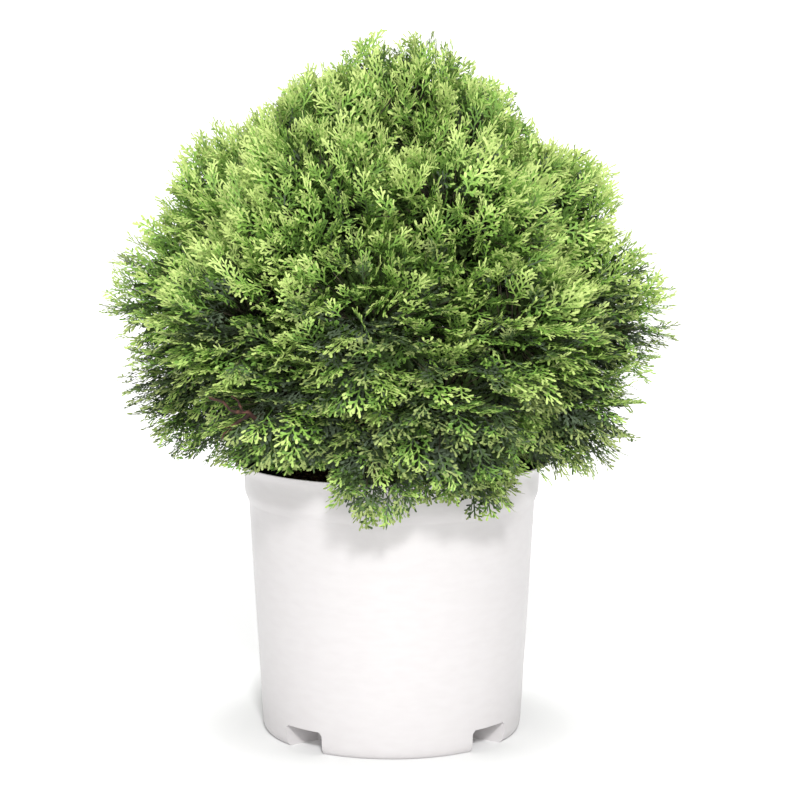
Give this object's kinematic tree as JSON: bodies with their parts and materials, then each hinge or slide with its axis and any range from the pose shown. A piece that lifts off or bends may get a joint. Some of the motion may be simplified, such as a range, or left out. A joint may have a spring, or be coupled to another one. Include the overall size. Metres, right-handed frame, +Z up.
{
  "type": "potted globe thuja",
  "caption": "Globe thuja with a dense rounded crown of flat toothed sprays on a short trunk with spreading boughs, growing in a round white plastic nursery pot.",
  "frame": {"origin": "centre of the pot's flat underside, on the ground", "axes": "+Z up along the pot's axis, -Y towards the front that the picture shows"},
  "size_m": [0.4773, 0.4669, 0.6061],
  "materials": {
    "pot": "white, semi-gloss",
    "soil": "dark, rough and crumbly",
    "bark": "red-brown, fibrous and matte",
    "foliage": "yellow-green, satin scales"
  },
  "bodies": {
    "root": {"pot": "pot", "soil": "soil", "trunk": "bark", "bough_crown_1": "bark", "bough_crown_2": "bark", "bough_crown_3": "bark", "bough_crown_4": "bark", "bough_lower_1": "bark", "bough_lower_2": "bark", "bough_lower_3": "bark", "bough_lower_4": "bark", "bough_lower_5": "bark", "bough_lower_6": "bark", "bough_lower_7": "bark", "bough_middle_1": "bark", "bough_middle_2": "bark", "bough_middle_3": "bark", "bough_middle_4": "bark", "bough_middle_5": "bark", "bough_middle_6": "bark", "bough_middle_7": "bark", "bough_middle_8": "bark", "bough_skirt_1": "bark", "bough_skirt_2": "bark", "bough_skirt_3": "bark", "bough_upper_1": "bark", "bough_upper_2": "bark", "bough_upper_3": "bark", "bough_upper_4": "bark", "bough_upper_5": "bark", "bough_upper_6": "bark", "foliage_crown_1": "foliage", "foliage_crown_2": "foliage", "foliage_crown_3": "foliage", "foliage_crown_4": "foliage", "foliage_lower_1": "foliage", "foliage_lower_2": "foliage", "foliage_lower_3": "foliage", "foliage_lower_4": "foliage", "foliage_lower_5": "foliage", "foliage_lower_6": "foliage", "foliage_lower_7": "foliage", "foliage_middle_1": "foliage", "foliage_middle_2": "foliage", "foliage_middle_3": "foliage", "foliage_middle_4": "foliage", "foliage_middle_5": "foliage", "foliage_middle_6": "foliage", "foliage_middle_7": "foliage", "foliage_middle_8": "foliage", "foliage_skirt_1": "foliage", "foliage_skirt_2": "foliage", "foliage_skirt_3": "foliage", "foliage_top": "foliage", "foliage_upper_1": "foliage", "foliage_upper_2": "foliage", "foliage_upper_3": "foliage", "foliage_upper_4": "foliage", "foliage_upper_5": "foliage", "foliage_upper_6": "foliage"}
  },
  "joints": []
}
